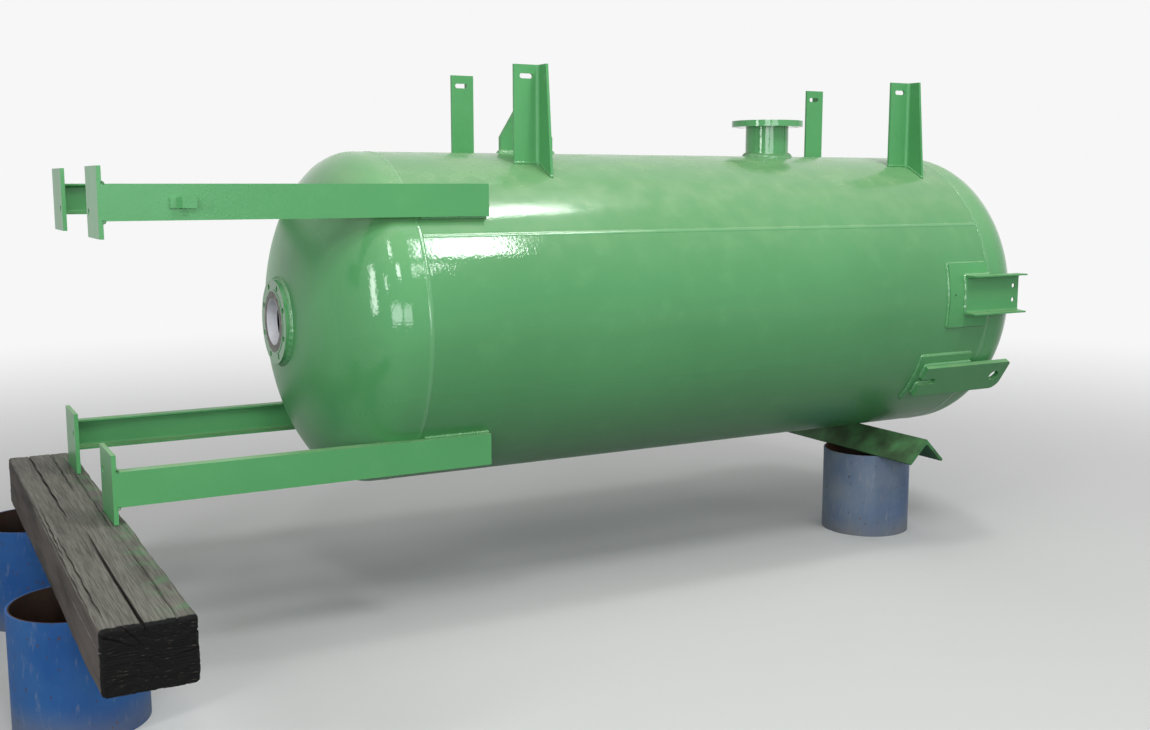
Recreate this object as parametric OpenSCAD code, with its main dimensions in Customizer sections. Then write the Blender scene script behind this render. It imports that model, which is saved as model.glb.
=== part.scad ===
// Horizontal pressure tank: a dished-end vessel lying on its side,
// with four channel legs, lifting lugs, ladder brackets and the
// sleeper and pipe stands that hold it off the floor.
// Units are millimetres. X runs along the tank's axis from the legs to the
// lifting end, Z is up, and the floor is at z = 0.

/* [Vessel] */
// Outside diameter of the shell
shell_od = 1116; // [900:2:1400]
// Length of the shell between its two girth welds
shell_len = 2355; // [1800:5:3000]
// Plate thickness of the shell and heads
plate_t = 8; // [5:1:14]
// Straight flange of each dished head
head_straight = 50; // [25:1:60]
// Depth of each dished head past its straight flange
head_depth = 271; // [220:1:330]
// Width of a weld cap on the plates
weld_w = 15; // [10:1:32]
// Height of a weld cap above the plates
weld_h = 1.6; // [1:0.1:4]
// Angle of the long seam above the near side's middle, in degrees
seam_angle = 31.6; // [10:0.1:60]

/* [End nozzles] */
// Outside diameter of the pad flange, 6 inch class 150
flange_od = 279.4; // [229:0.1:343]
// How far the flange face stands out past the head's crown
face_proud = 13; // [8:1:60]
// Thickness of the pad flange, let into the head
pad_flange_t = 35; // [34:1:70]
// Leg of the fillet weld round the pad flange
pad_fillet = 9.5; // [6:0.5:14]
// Diameter of the raised face
raised_od = 215.9; // [150:0.1:260]
// Height of the raised face
raised_h = 1.6; // [1:0.1:7]
// Outside diameter of the nozzle pipe
neck_od = 168.3; // [114.3:0.1:219.1]
// Wall of the nozzle pipe
neck_wall = 7.1; // [5:0.1:12]
// Thickness of the bore lining
liner_t = 2; // [1:0.5:6]
// Bolt circle of every flange
bolt_circle = 241.3; // [180:0.1:300]
// Diameter of each tapped stud hole in the pad flanges
stud_hole = 19; // [14:0.1:24]
// Depth of each tapped hole
stud_depth = 25; // [18:1:32]
// Number of bolt holes
bolt_count = 8; // [4:4:12]

/* [Top nozzle] */
// Distance of the nozzle from the left girth weld
top_nozzle_x = 1678; // [1400:1:1900]
// Height of the flange face above the shell's crown
top_proud = 140; // [110:1:180]
// Thickness of the flange
top_flange_t = 25.4; // [19:0.1:32]
// Diameter of each bolt hole in the top flange
bolt_hole = 22.2; // [16:0.1:28]
// Leg of the fillet weld round the nozzle pipe
top_fillet = 15; // [8:1:20]

/* [Legs] */
// Depth of the channel section
leg_depth = 101.6; // [80:0.1:152.4]
// Width of the channel's flanges
leg_flange = 41; // [35:0.5:60]
// Thickness of the channel's web
leg_web = 6; // [4:0.5:10]
// Distance from the tank's mid-plane to the outer face of each web
leg_y = 465.3; // [400:0.1:500]
// Height of each leg's centre above or below the tank's axis
leg_z = 400.4; // [350:0.1:450]
// How far the legs reach past the left girth weld
leg_out = 920; // [700:5:1200]
// How far the legs lap onto the shell
leg_lap = 237; // [150:1:400]
// Side of each square foot plate
foot_side = 200; // [150:5:260]
// Thickness of each foot plate
foot_t = 12.7; // [10:0.1:20]
// Diameter of the anchor hole in each foot plate
foot_hole = 22; // [16:1:30]
// Distance of the anchor hole from the tank's mid-plane
foot_hole_y = 300; // [280:1:330]
// Height of the anchor hole above or below the tank's axis
foot_hole_z = 371; // [350:1:450]

/* [Ladder brackets] */
// Width of each leg of the near brackets' section
bracket_leg = 101.6; // [75:0.1:130]
// Width of each leg of the far brackets' section
far_bracket_leg = 88.9; // [75:0.1:130]
// Thickness of the brackets
bracket_t = 9.5; // [6:0.5:13]
// Root radius of the angle
bracket_root = 12; // [8:1:16]
// Height of the bracket tops above the tank's axis
bracket_top = 850; // [750:5:950]
// Distance of the left pair from the left girth weld
bracket_left = 453; // [300:1:700]
// Distance of the right pair from the right girth weld
bracket_right = 223; // [160:1:400]
// Offset of the pair's middle from the tank's mid-plane
bracket_mid = 58; // [0:1:80]
// Distance from the pair's middle to each bracket's face
bracket_half = 258; // [200:1:320]
// Length of the slot near each top
slot_len = 50; // [30:1:70]
// Width of the slot
slot_w = 17; // [12:1:22]
// Depth of the slot's centre below the bracket's top
slot_drop = 38; // [25:1:60]

/* [Lifting lugs] */
// Angle of the front lug below the near side's middle, in degrees
lug_angle = 33; // [20:1:50]
// Thickness of the lug plate
lug_t = 19; // [12:1:30]
// Width of the lug plate
lug_w = 140; // [100:1:200]
// How far the lug plate laps onto the shell from the right girth weld
lug_lap = 280; // [200:1:400]
// How far the lug plate reaches past the right girth weld
lug_reach = 170; // [120:1:300]
// Length of the slot for welding at the lug's root
lug_slot_len = 74; // [60:1:140]
// Width of that slot
lug_slot_w = 28; // [20:1:40]
// Distance of the eye from the free end
eye_edge = 55; // [45:1:80]
// Radius of the lower corner at the free end
lug_corner = 42; // [20:1:60]
// Radius of the upper corner at the free end
lug_upper_corner = 14; // [5:1:40]
// Diameter of the lifting eye
lug_eye = 48; // [30:1:60]
// Thickness of each backing pad
pad_t = 10; // [6:1:16]
// How far the lug pad shows round the lug's root
pad_margin = 25; // [15:1:60]
// Distance of the lug pad from the right girth weld
lug_pad_end = 43; // [20:1:80]
// Half the lug pad's width round the shell, in degrees
lug_pad_half = 11; // [8:0.1:16]

/* [Tailing lug] */
// Distance of the lug's middle from the left girth weld
tail_x = 602; // [450:1:900]
// Half the width of the lug's foot
tail_half = 103; // [70:1:140]
// Height of the lug's shoulders above the crown
tail_shoulder = 57; // [30:1:90]
// Height of the lug's eye above the crown
tail_eye_h = 132; // [100:1:180]
// Radius of the lug's rounded top
tail_top_r = 48; // [35:1:60]
// Diameter of the lug's eye
tail_eye = 40; // [25:1:55]

/* [Channel stubs] */
// Depth of the stub's channel section
stub_depth = 152.4; // [100:0.1:200]
// Width of its flanges
stub_flange = 50; // [40:1:70]
// Thickness of its web
stub_web = 6; // [4:0.5:10]
// How far the stub laps onto the shell from the right girth weld
stub_lap = 138; // [100:1:200]
// How far the stub reaches past the right girth weld
stub_reach = 142; // [80:1:300]
// Distance of the bolt holes from the stub's free end
stub_edge = 27; // [20:1:50]
// Distance of the stub pad's ends from the stub and from the girth weld
stub_pad_margin = 78; // [40:1:120]
// Distance of the stub pad from the right girth weld
stub_pad_end = 13; // [13:1:40]
// Half the stub pad's height round the shell, in degrees
stub_pad_half = 12.6; // [10:0.1:18]
// Height of the stub's middle above the tank's axis
stub_z = 24; // [0:1:60]
// Diameter of its two bolt holes
stub_hole = 18; // [12:1:24]
// Spacing of its two bolt holes
stub_pitch = 56; // [40:1:90]

/* [Stands] */
// Height of the tank's axis above the floor
axis_h = 993; // [900:1:1200]
// Outside diameter of the pipe stands
stand_od = 355.6; // [273:0.1:406.4]
// Wall of the pipe stands
stand_wall = 9.5; // [6:0.5:13]
// Width of the wooden sleeper
sleeper_w = 216; // [180:1:260]
// Depth of the wooden sleeper
sleeper_h = 160; // [120:1:200]
// Length of the wooden sleeper
sleeper_len = 2000; // [1600:10:2600]
// Where the sleeper's near end lies, from the tank's mid-plane
sleeper_near = 1340; // [900:10:1500]
// Leg of the cradle's angle section
cradle_leg = 127; // [100:1:150]
// Thickness of the cradle's angle section
cradle_t = 12; // [8:1:16]
// Root radius of the cradle's angle section
cradle_root = 13; // [8:1:18]
// Radius of the cradle's toes
cradle_toe = 6; // [3:0.5:8]
// Length of the cradle angle
cradle_len = 926; // [700:1:1200]
// Distance of the cradle from the right girth weld
cradle_in = 205; // [100:5:500]

/* [Hidden] */
$fn = 96;

gap = 0.3;
shell_r = shell_od / 2;
neck_r = neck_od / 2;
liner_r = neck_r - neck_wall;
nozzle_face = head_straight + head_depth + face_proud;
head_steps = 26;

leg_x1 = -leg_out;
foot_low = -leg_z - foot_side / 2;
sleeper_x = leg_x1 - foot_t + 40;
cradle_foot = -shell_r - (cradle_leg + cradle_t) / sqrt(2) + (sqrt(2) - 1) * cradle_toe;
near_stand_y = -600;
far_stand_y = 370;
cradle_stand_y = -115;
cradle_x = shell_len - cradle_in;
bracket_x = [bracket_left, shell_len - bracket_right];
lug_x1 = shell_len - lug_lap;
lug_x2 = shell_len + lug_reach;
stub_x1 = shell_len - stub_lap;
stub_x2 = shell_len + stub_reach;
tail_eye_z = shell_r + tail_eye_h;
stand_x = sleeper_x - 167;

x_min = stand_x - stand_od / 2;
x_max = shell_len + nozzle_face;
y_min = -sleeper_near;
y_max = sleeper_len - sleeper_near;

tank_green = [0.36, 0.62, 0.40];
face_grey = [0.45, 0.45, 0.44];
liner_white = [0.86, 0.86, 0.88];
pipe_blue = [0.22, 0.30, 0.45];
old_wood = [0.17, 0.15, 0.13];

// Height of a head's outer surface above its girth weld, at radius r.
function head_rise(r) = head_straight + head_depth * sqrt(1 - pow(r / shell_r, 2));

// Points of a head's profile from the equator to radius r_end.
function head_curve(rim, depth, r_end, n = head_steps) =
    let (a_end = acos(r_end / rim))
    [for (i = [0:n]) [rim * cos(a_end * i / n), head_straight + depth * sin(a_end * i / n)]];

// Moves the tank from its own axes to the frame with the floor at zero.
module in_frame() {
    translate([-(x_min + x_max) / 2, -(y_min + y_max) / 2, axis_h])
        children();
}

// Stands a turned piece on the left or right girth weld, facing outwards.
module at_end(side) {
    translate([side < 0 ? 0 : shell_len, 0, 0])
        rotate([0, 90 * side, 0])
            children();
}

// Turns a piece drawn on the near side upwards by an angle.
module up_by(angle) {
    rotate([-angle, 0, 0])
        children();
}

// Curved plate on the near side, between two radii.
module curved_plate(x1, x2, half_angle, r1, r2) {
    translate([x1, 0, 0])
        rotate([0, 90, 0])
            rotate([0, 0, 270 - half_angle])
                rotate_extrude(angle = 2 * half_angle)
                    translate([r1, 0])
                        square([r2 - r1, x2 - x1]);
}

// Solid of the shell's outside, to cope pieces that land on it.
module shell_cut() {
    translate([-1, 0, 0])
        rotate([0, 90, 0])
            cylinder(h = shell_len + 2, r = shell_r, $fn = 256);
}

// Solid of the left head's outside, to cope the legs that pass it.
module head_cut() {
    at_end(-1)
        rotate_extrude($fn = 256)
            polygon(concat([[0, 0]], [[shell_r, 0]], head_curve(shell_r, head_depth, 0)));
}

// Ring over the left girth weld, to notch the legs that cross it.
module weld_cut() {
    at_end(-1)
        translate([0, 0, -weld_w / 2 - gap])
            cylinder(h = weld_w + 2 * gap, r = shell_r + weld_h + gap, $fn = 256);
}

// Half of a rolled channel's inside, from the flange's tip to the web.
function channel_inside(depth, flange, web, tip, root) = [
    [depth / 2, flange],
    [depth / 2 - tip, flange],
    [depth / 2 - root + (root - tip) * web / (flange - web), 2 * web],
    [depth / 2 - root - 0.29 * web, 1.29 * web],
    [depth / 2 - root - web, web]
];

// Rolled channel section: web at y = 0, tapered flanges towards +y.
module channel_2d(depth, flange, web) {
    inside = channel_inside(depth, flange, web, web * 0.95, web * 1.5);
    n = len(inside);
    polygon(concat(
        [[-depth / 2, 0], [depth / 2, 0]],
        inside,
        [for (i = [n - 1:-1:0]) [-inside[i][0], inside[i][1]]]
    ));
}

module shell() {
    color(tank_green)
        in_frame()
            difference() {
                rotate([0, 90, 0])
                    cylinder(h = shell_len, r = shell_r);
                translate([-1, 0, 0])
                    rotate([0, 90, 0])
                        cylinder(h = shell_len + 2, r = shell_r - plate_t);
                translate([top_nozzle_x, 0, 0])
                    cylinder(h = shell_od, r = neck_r + gap);
            }
}

module head(side) {
    outer = head_curve(shell_r, head_depth, flange_od / 2 + gap);
    inner = head_curve(shell_r - plate_t, head_depth - plate_t, flange_od / 2 + gap);
    color(tank_green)
        in_frame()
            at_end(side)
                rotate_extrude()
                    polygon(concat(
                        [[shell_r, 0]],
                        outer,
                        [for (i = [head_steps:-1:0]) inner[i]],
                        [[shell_r - plate_t, 0]]
                    ));
}

module left_head() {
    head(-1);
}

module right_head() {
    head(1);
}

// Rounded cap of a butt weld, half above and across the joint.
function weld_cap(r) = [
    [r, -weld_w / 2], [r + weld_h * 0.6, -weld_w * 0.36], [r + weld_h, -weld_w * 0.12],
    [r + weld_h, weld_w * 0.12], [r + weld_h * 0.6, weld_w * 0.36], [r, weld_w / 2]
];

module seam_weld() {
    half = asin(weld_w / 2 / shell_r);
    x1 = weld_w / 2 + gap;
    x2 = shell_len - x1;
    color(tank_green)
        in_frame()
            up_by(seam_angle)
                union() {
                    curved_plate(x1, x2, half, shell_r + 0.2, shell_r + weld_h * 0.5, $fn = 720);
                    curved_plate(x1, x2, half * 0.6, shell_r + 0.2, shell_r + weld_h, $fn = 720);
                }
}

module girth_weld(side) {
    color(tank_green)
        in_frame()
            at_end(side)
                rotate_extrude()
                    polygon(weld_cap(shell_r));
}

module left_girth_weld() {
    girth_weld(-1);
}

module right_girth_weld() {
    girth_weld(1);
}

// Pad flange let into the head, with tapped holes that stop inside it.
module nozzle_flange(side) {
    color(tank_green)
        in_frame()
            at_end(side)
                difference() {
                    union() {
                        translate([0, 0, nozzle_face - pad_flange_t])
                            cylinder(h = pad_flange_t - raised_h, r = flange_od / 2);
                        translate([0, 0, nozzle_face - pad_flange_t])
                            cylinder(h = pad_flange_t, r = raised_od / 2);
                    }
                    cylinder(h = nozzle_face + 1, r = neck_r + gap);
                    for (i = [0:bolt_count - 1])
                        rotate([0, 0, (i + 0.5) * 360 / bolt_count])
                            translate([bolt_circle / 2, 0, nozzle_face - raised_h - stud_depth])
                                cylinder(h = stud_depth + 5, r = stud_hole / 2, $fn = 36);
                }
}

module nozzle_neck(side) {
    color(face_grey)
        in_frame()
            at_end(side)
                translate([0, 0, nozzle_face - pad_flange_t])
                    difference() {
                        cylinder(h = pad_flange_t, r = neck_r);
                        translate([0, 0, -1])
                            cylinder(h = pad_flange_t + 2, r = liner_r);
                    }
}

// White sleeve inside the pipe.
module nozzle_liner(side) {
    color(liner_white)
        in_frame()
            at_end(side)
                translate([0, 0, nozzle_face - pad_flange_t])
                    difference() {
                        cylinder(h = pad_flange_t, r = liner_r);
                        translate([0, 0, -1])
                            cylinder(h = pad_flange_t + 2, r = liner_r - liner_t);
                    }
}

// Fillet weld around the flange's rim, onto the head.
module nozzle_weld(side) {
    flange_r = flange_od / 2;
    color(tank_green)
        in_frame()
            at_end(side)
                rotate_extrude()
                    polygon([
                        [flange_r, head_rise(flange_r) + gap],
                        [flange_r + pad_fillet, head_rise(flange_r + pad_fillet) + gap],
                        [flange_r + pad_fillet * 0.4, head_rise(flange_r) + pad_fillet * 0.6],
                        [flange_r, head_rise(flange_r) + pad_fillet]
                    ]);
}

module left_nozzle_flange() {
    nozzle_flange(-1);
}

module left_nozzle_neck() {
    nozzle_neck(-1);
}

module left_nozzle_liner() {
    nozzle_liner(-1);
}

module left_nozzle_weld() {
    nozzle_weld(-1);
}

module right_nozzle_flange() {
    nozzle_flange(1);
}

module right_nozzle_neck() {
    nozzle_neck(1);
}

module right_nozzle_liner() {
    nozzle_liner(1);
}

module right_nozzle_weld() {
    nozzle_weld(1);
}

// Puts a piece that is turned about its own axis on the shell's crown.
module at_top() {
    translate([top_nozzle_x, 0, shell_r])
        children();
}

module top_nozzle_flange() {
    color(tank_green)
        in_frame()
            at_top()
                difference() {
                    union() {
                        translate([0, 0, top_proud - top_flange_t])
                            cylinder(h = top_flange_t - raised_h, r = flange_od / 2);
                        translate([0, 0, top_proud - top_flange_t])
                            cylinder(h = top_flange_t, r = raised_od / 2);
                    }
                    cylinder(h = top_proud + 1, r = neck_r + gap);
                    for (i = [0:bolt_count - 1])
                        rotate([0, 0, (i + 0.5) * 360 / bolt_count])
                            translate([bolt_circle / 2, 0, 0])
                                cylinder(h = top_proud, r = bolt_hole / 2, $fn = 36);
                }
}

module top_nozzle_neck() {
    color(tank_green)
        in_frame()
            at_top()
                translate([0, 0, -25])
                    difference() {
                        cylinder(h = top_proud + 25, r = neck_r);
                        translate([0, 0, -1])
                            cylinder(h = top_proud + 27, r = liner_r);
                    }
}

// Fillet round the pipe, following the shell.
module top_nozzle_weld() {
    color(tank_green)
        in_frame()
            difference() {
                at_top()
                    translate([0, 0, -top_fillet])
                        difference() {
                            cylinder(h = 2 * top_fillet, r1 = neck_r + 2 * top_fillet, r2 = neck_r);
                            translate([0, 0, -1])
                                cylinder(h = 2 * top_fillet + 2, r = neck_r + 0.1);
                        }
                shell_cut();
            }
}

// One leg: side is -1 near or 1 far, level is 1 upper or -1 lower.
module leg(side, level) {
    color(tank_green)
        in_frame()
            difference() {
                translate([leg_x1, side * leg_y, level * leg_z])
                    rotate([90, 0, 90])
                        linear_extrude(leg_out + leg_lap)
                            rotate(side < 0 ? -90 : 90)
                                mirror([side < 0 ? 1 : 0, 0])
                                    channel_2d(leg_depth, leg_flange, leg_web);
                shell_cut();
                head_cut();
                weld_cut();
            }
}

module near_upper_leg() {
    leg(-1, 1);
}

module near_lower_leg() {
    leg(-1, -1);
}

module far_upper_leg() {
    leg(1, 1);
}

module far_lower_leg() {
    leg(1, -1);
}

// Fillet under each leg's inner flange, where it lands on the shell.
module leg_welds() {
    z = leg_z - leg_depth / 2;
    y = sqrt(pow(shell_r, 2) - pow(z, 2));
    w = 11;
    start = weld_w / 2 + gap;
    color(tank_green)
        in_frame()
            for (side = [-1, 1], level = [-1, 1])
                difference() {
                    translate([start, 0, 0])
                        rotate([90, 0, 90])
                            linear_extrude(leg_lap - start)
                                scale([side, level])
                                    polygon([[y - 3, z], [y + w, z], [y + w * 0.4, z - w * 0.4], [y + 2, z - w], [y - 3, z - w]]);
                    shell_cut();
                }
}

// Square plate on a leg's end, its outer edge level with the web.
module foot(side, level) {
    color(tank_green)
        in_frame()
            difference() {
                translate([
                    leg_x1 - foot_t,
                    side < 0 ? -leg_y : leg_y - foot_side,
                    level * leg_z - foot_side / 2
                ])
                    cube([foot_t, foot_side, foot_side]);
                translate([leg_x1 - foot_t - 1, side * foot_hole_y, level * foot_hole_z])
                    rotate([0, 90, 0])
                        cylinder(h = foot_t + 2, r = foot_hole / 2, $fn = 36);
            }
}

module near_upper_foot() {
    foot(-1, 1);
}

module near_lower_foot() {
    foot(-1, -1);
}

module far_upper_foot() {
    foot(1, 1);
}

module far_lower_foot() {
    foot(1, -1);
}

// Bent strip on the near upper leg's web.
module earthing_clip() {
    t = 5;
    color(tank_green)
        in_frame()
            translate([-742, -leg_y, 384])
                linear_extrude(30)
                    polygon([
                        [0, 0], [0, -t], [18, -t], [30, -24],
                        [70, -24], [70, -24 + t], [33, -24 + t], [21, 0]
                    ]);
}

// Solid of a lug pad with clearance, to cope the bracket that lands on it.
module lug_pad_cut(angle) {
    up_by(angle)
        curved_plate(
            lug_x1 - pad_margin - gap, shell_len - lug_pad_end + gap,
            lug_pad_half + 0.05, shell_r - 5, shell_r + pad_t + gap
        );
}

// Angle with a slotted face, cut to the shell and tapering upwards.
module bracket(x, side) {
    face = bracket_mid + side * bracket_half;
    leg = side < 0 ? bracket_leg : far_bracket_leg;
    top_leg = leg * 0.64;
    low = 300;
    color(tank_green)
        in_frame()
            difference() {
                translate([x, face, low])
                    scale([1, side, 1])
                        linear_extrude(bracket_top - low) {
                            square([leg, bracket_t]);
                            translate([leg - bracket_t, 0])
                                square([bracket_t, leg]);
                            translate([leg - bracket_t - bracket_root, bracket_t])
                                difference() {
                                    square(bracket_root);
                                    translate([0, bracket_root])
                                        circle(bracket_root);
                                }
                        }
                shell_cut();
                lug_pad_cut(180 - lug_angle);
                translate([x - 1, face, 0])
                    scale([1, side, 1])
                        rotate([90, 0, 90])
                            linear_extrude(leg + 2)
                                polygon([
                                    [leg + 5, low],
                                    [leg + 5, bracket_top + 1],
                                    [top_leg, bracket_top + 1],
                                    [leg, shell_r - 100]
                                ]);
                translate([x + leg / 2 - 4, face - 30, bracket_top - slot_drop])
                    rotate([-90, 0, 0])
                        linear_extrude(60) {
                            square([slot_len - slot_w, slot_w], center = true);
                            for (s = [-1, 1])
                                translate([s * (slot_len - slot_w) / 2, 0])
                                    circle(slot_w / 2);
                        }
            }
}

module near_left_bracket() {
    bracket(bracket_x[0], -1);
}

module far_left_bracket() {
    bracket(bracket_x[0], 1);
}

module near_right_bracket() {
    bracket(bracket_x[1], -1);
}

module far_right_bracket() {
    bracket(bracket_x[1], 1);
}

// Tapered plate with an eye on the crown, to steady the leg end in a lift.
module tailing_lug() {
    rise = tail_eye_h - tail_shoulder;
    a = atan(rise / tail_half) + asin(tail_top_r / sqrt(pow(tail_half, 2) + pow(rise, 2)));
    top_x = tail_top_r * sin(a);
    top_z = tail_eye_z + tail_top_r * cos(a);
    color(tank_green)
        in_frame()
            difference() {
                translate([tail_x, lug_t / 2, 0])
                    rotate([90, 0, 0])
                        linear_extrude(lug_t)
                            difference() {
                                union() {
                                    polygon([
                                        [-tail_half, shell_r - 5],
                                        [tail_half, shell_r - 5],
                                        [tail_half, shell_r + tail_shoulder],
                                        [top_x, top_z],
                                        [-top_x, top_z],
                                        [-tail_half, shell_r + tail_shoulder]
                                    ]);
                                    translate([0, tail_eye_z])
                                        circle(tail_top_r);
                                }
                                translate([0, tail_eye_z])
                                    circle(tail_eye / 2);
                            }
                shell_cut();
            }
}

// Backing pad with its small vent hole.
module stub_pad(angle) {
    color(tank_green)
        in_frame()
            up_by(angle)
                difference() {
                    curved_plate(stub_x1 - stub_pad_margin, shell_len - stub_pad_end, stub_pad_half, shell_r, shell_r + pad_t);
                    translate([stub_x1 - stub_pad_margin * 0.64, 0, 0])
                        rotate([90, 0, 0])
                            cylinder(h = shell_od, r = 4);
                }
}

// Channel with its web against the pad and its flanges outwards.
module channel_stub(side) {
    color(tank_green)
        in_frame()
            scale([1, -side, 1])
                difference() {
                    translate([stub_x1, -shell_r - pad_t, stub_z])
                        rotate([90, 0, 90])
                            linear_extrude(stub_x2 - stub_x1)
                                rotate(90)
                                    channel_2d(stub_depth, stub_flange, stub_web);
                    for (s = [-1, 1])
                        translate([stub_x2 - stub_edge, -shell_r, stub_z + s * stub_pitch / 2])
                            rotate([90, 0, 0])
                                cylinder(h = 60, r = stub_hole / 2, $fn = 36);
                }
}

module near_stub_pad() {
    stub_pad(asin(stub_z / shell_r));
}

module near_channel_stub() {
    channel_stub(-1);
}

module far_stub_pad() {
    stub_pad(180 - asin(stub_z / shell_r));
}

module far_channel_stub() {
    channel_stub(1);
}

module lug_pad(angle) {
    color(tank_green)
        in_frame()
            up_by(angle)
                curved_plate(lug_x1 - pad_margin, shell_len - lug_pad_end, lug_pad_half, shell_r, shell_r + pad_t);
}

// Flat plate tangent to its pad, with a slot for welding and a lifting eye.
module lifting_lug(angle) {
    slot_end = lug_x1 + lug_slot_len - lug_slot_w / 2;
    color(tank_green)
        in_frame()
            up_by(angle)
                translate([0, -shell_r - pad_t, 0])
                    rotate([90, 0, 0])
                        linear_extrude(lug_t)
                            difference() {
                                union() {
                                    translate([lug_x1, -lug_w / 2])
                                        square([lug_x2 - lug_corner - lug_x1, lug_w]);
                                    translate([lug_x1, lug_corner - lug_w / 2])
                                        square([lug_x2 - lug_x1, lug_w - lug_corner - lug_upper_corner]);
                                    translate([lug_x1, 0])
                                        square([lug_x2 - lug_upper_corner - lug_x1, lug_w / 2]);
                                    translate([lug_x2 - lug_corner, lug_corner - lug_w / 2])
                                        circle(lug_corner);
                                    translate([lug_x2 - lug_upper_corner, lug_w / 2 - lug_upper_corner])
                                        circle(lug_upper_corner);
                                }
                                translate([lug_x2 - eye_edge, 0])
                                    circle(lug_eye / 2);
                                translate([slot_end, 0])
                                    circle(lug_slot_w / 2);
                                translate([lug_x1 - 1, -lug_slot_w / 2])
                                    square([slot_end - lug_x1 + 1, lug_slot_w]);
                            }
}

module front_lug_pad() {
    lug_pad(-lug_angle);
}

module front_lifting_lug() {
    lifting_lug(-lug_angle);
}

module rear_lug_pad() {
    lug_pad(180 - lug_angle);
}

module rear_lifting_lug() {
    lifting_lug(180 - lug_angle);
}

// Sawn timber with its long edges knocked off.
module sleeper() {
    c = 6;
    color(old_wood)
        in_frame()
            translate([sleeper_x - sleeper_w, sleeper_len - sleeper_near, foot_low - sleeper_h])
                rotate([90, 0, 0])
                    linear_extrude(sleeper_len)
                        polygon([
                            [c, 0], [sleeper_w - c, 0], [sleeper_w, c],
                            [sleeper_w, sleeper_h - c], [sleeper_w - c, sleeper_h],
                            [c, sleeper_h], [0, sleeper_h - c], [0, c]
                        ]);
}

// Length of pipe standing on the floor, up to a given height.
module pipe_stand(x, y, top) {
    color(pipe_blue)
        in_frame()
            translate([x, y, -axis_h])
                difference() {
                    cylinder(h = axis_h + top, r = stand_od / 2);
                    translate([0, 0, -1])
                        cylinder(h = axis_h + top + 2, r = stand_od / 2 - stand_wall);
                }
}

module near_pipe_stand() {
    pipe_stand(stand_x, near_stand_y, foot_low - sleeper_h);
}

module far_pipe_stand() {
    pipe_stand(stand_x, far_stand_y, foot_low - sleeper_h);
}

module cradle_pipe_stand() {
    pipe_stand(cradle_x, cradle_stand_y, cradle_foot);
}

// Rolled angle section with its heel at the origin.
module cradle_2d() {
    for (turn = [0, 1])
        mirror([turn, -turn])
            difference() {
                square([cradle_leg, cradle_t]);
                translate([cradle_leg - cradle_toe, cradle_t - cradle_toe])
                    difference() {
                        square(cradle_toe + 1);
                        circle(cradle_toe);
                    }
            }
    translate([cradle_t, cradle_t])
        difference() {
            square(cradle_root);
            translate([cradle_root, cradle_root])
                circle(cradle_root);
        }
}

// Angle with its ridge up, under the shell, standing on its toes.
module cradle_angle() {
    color(tank_green)
        in_frame()
            translate([cradle_x, cradle_len / 2, -shell_r])
                rotate([90, 0, 0])
                    linear_extrude(cradle_len)
                        rotate(-135)
                            cradle_2d();
}

shell();
left_head();
right_head();
seam_weld();
left_girth_weld();
right_girth_weld();
left_nozzle_flange();
left_nozzle_neck();
left_nozzle_liner();
left_nozzle_weld();
right_nozzle_flange();
right_nozzle_neck();
right_nozzle_liner();
right_nozzle_weld();
top_nozzle_flange();
top_nozzle_neck();
top_nozzle_weld();
near_upper_leg();
near_lower_leg();
far_upper_leg();
far_lower_leg();
leg_welds();
near_upper_foot();
near_lower_foot();
far_upper_foot();
far_lower_foot();
earthing_clip();
near_left_bracket();
far_left_bracket();
near_right_bracket();
far_right_bracket();
tailing_lug();
near_stub_pad();
near_channel_stub();
far_stub_pad();
far_channel_stub();
front_lug_pad();
front_lifting_lug();
rear_lug_pad();
rear_lifting_lug();
sleeper();
near_pipe_stand();
far_pipe_stand();
cradle_angle();
cradle_pipe_stand();
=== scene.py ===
# %% [markdown]
# # A pressure tank lying on its side
#
# The object is a welded steel vessel with two dished heads. It is made to stand on four channel legs,
# but here it lies on its side, with its lower foot plates on a wooden sleeper and its belly on a steel
# angle. Every plate and pipe comes from the CAD frame with its real size. This lesson adds what CAD
# leaves out: the gloss of fresh enamel, the ripples of the weld beads and the worn timber.

from math import asin, atan2, cos, pi, radians, sin, sqrt

import bpy
import numpy as np
from mathutils import Matrix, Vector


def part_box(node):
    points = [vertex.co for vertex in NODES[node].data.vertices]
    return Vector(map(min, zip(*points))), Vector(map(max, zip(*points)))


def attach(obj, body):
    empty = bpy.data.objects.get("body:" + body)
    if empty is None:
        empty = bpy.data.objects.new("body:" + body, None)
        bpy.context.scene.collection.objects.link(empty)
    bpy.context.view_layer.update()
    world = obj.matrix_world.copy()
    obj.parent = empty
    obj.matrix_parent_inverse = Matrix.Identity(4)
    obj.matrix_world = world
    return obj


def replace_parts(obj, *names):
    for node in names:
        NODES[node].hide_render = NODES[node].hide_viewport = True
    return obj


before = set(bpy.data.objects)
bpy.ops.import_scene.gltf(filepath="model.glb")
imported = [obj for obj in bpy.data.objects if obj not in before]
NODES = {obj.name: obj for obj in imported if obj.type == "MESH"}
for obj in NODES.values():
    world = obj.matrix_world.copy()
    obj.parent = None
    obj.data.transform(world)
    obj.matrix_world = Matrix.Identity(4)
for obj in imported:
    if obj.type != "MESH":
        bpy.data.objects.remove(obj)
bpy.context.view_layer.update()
print(len(NODES), "pieces came from the frame")

# %% [markdown]
# ## Measures of the vessel
#
# Welds follow the shell, so the script needs its axis and radius. They could be typed again, but
# reading them from the shell's own box keeps the beads on the plates when the CAD changes.

# %% Read the vessel's axis and radius
def box(name):
    """Lowest and highest corner of a CAD piece, as arrays."""
    low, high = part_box(name)
    return np.array(low), np.array(high)


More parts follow.
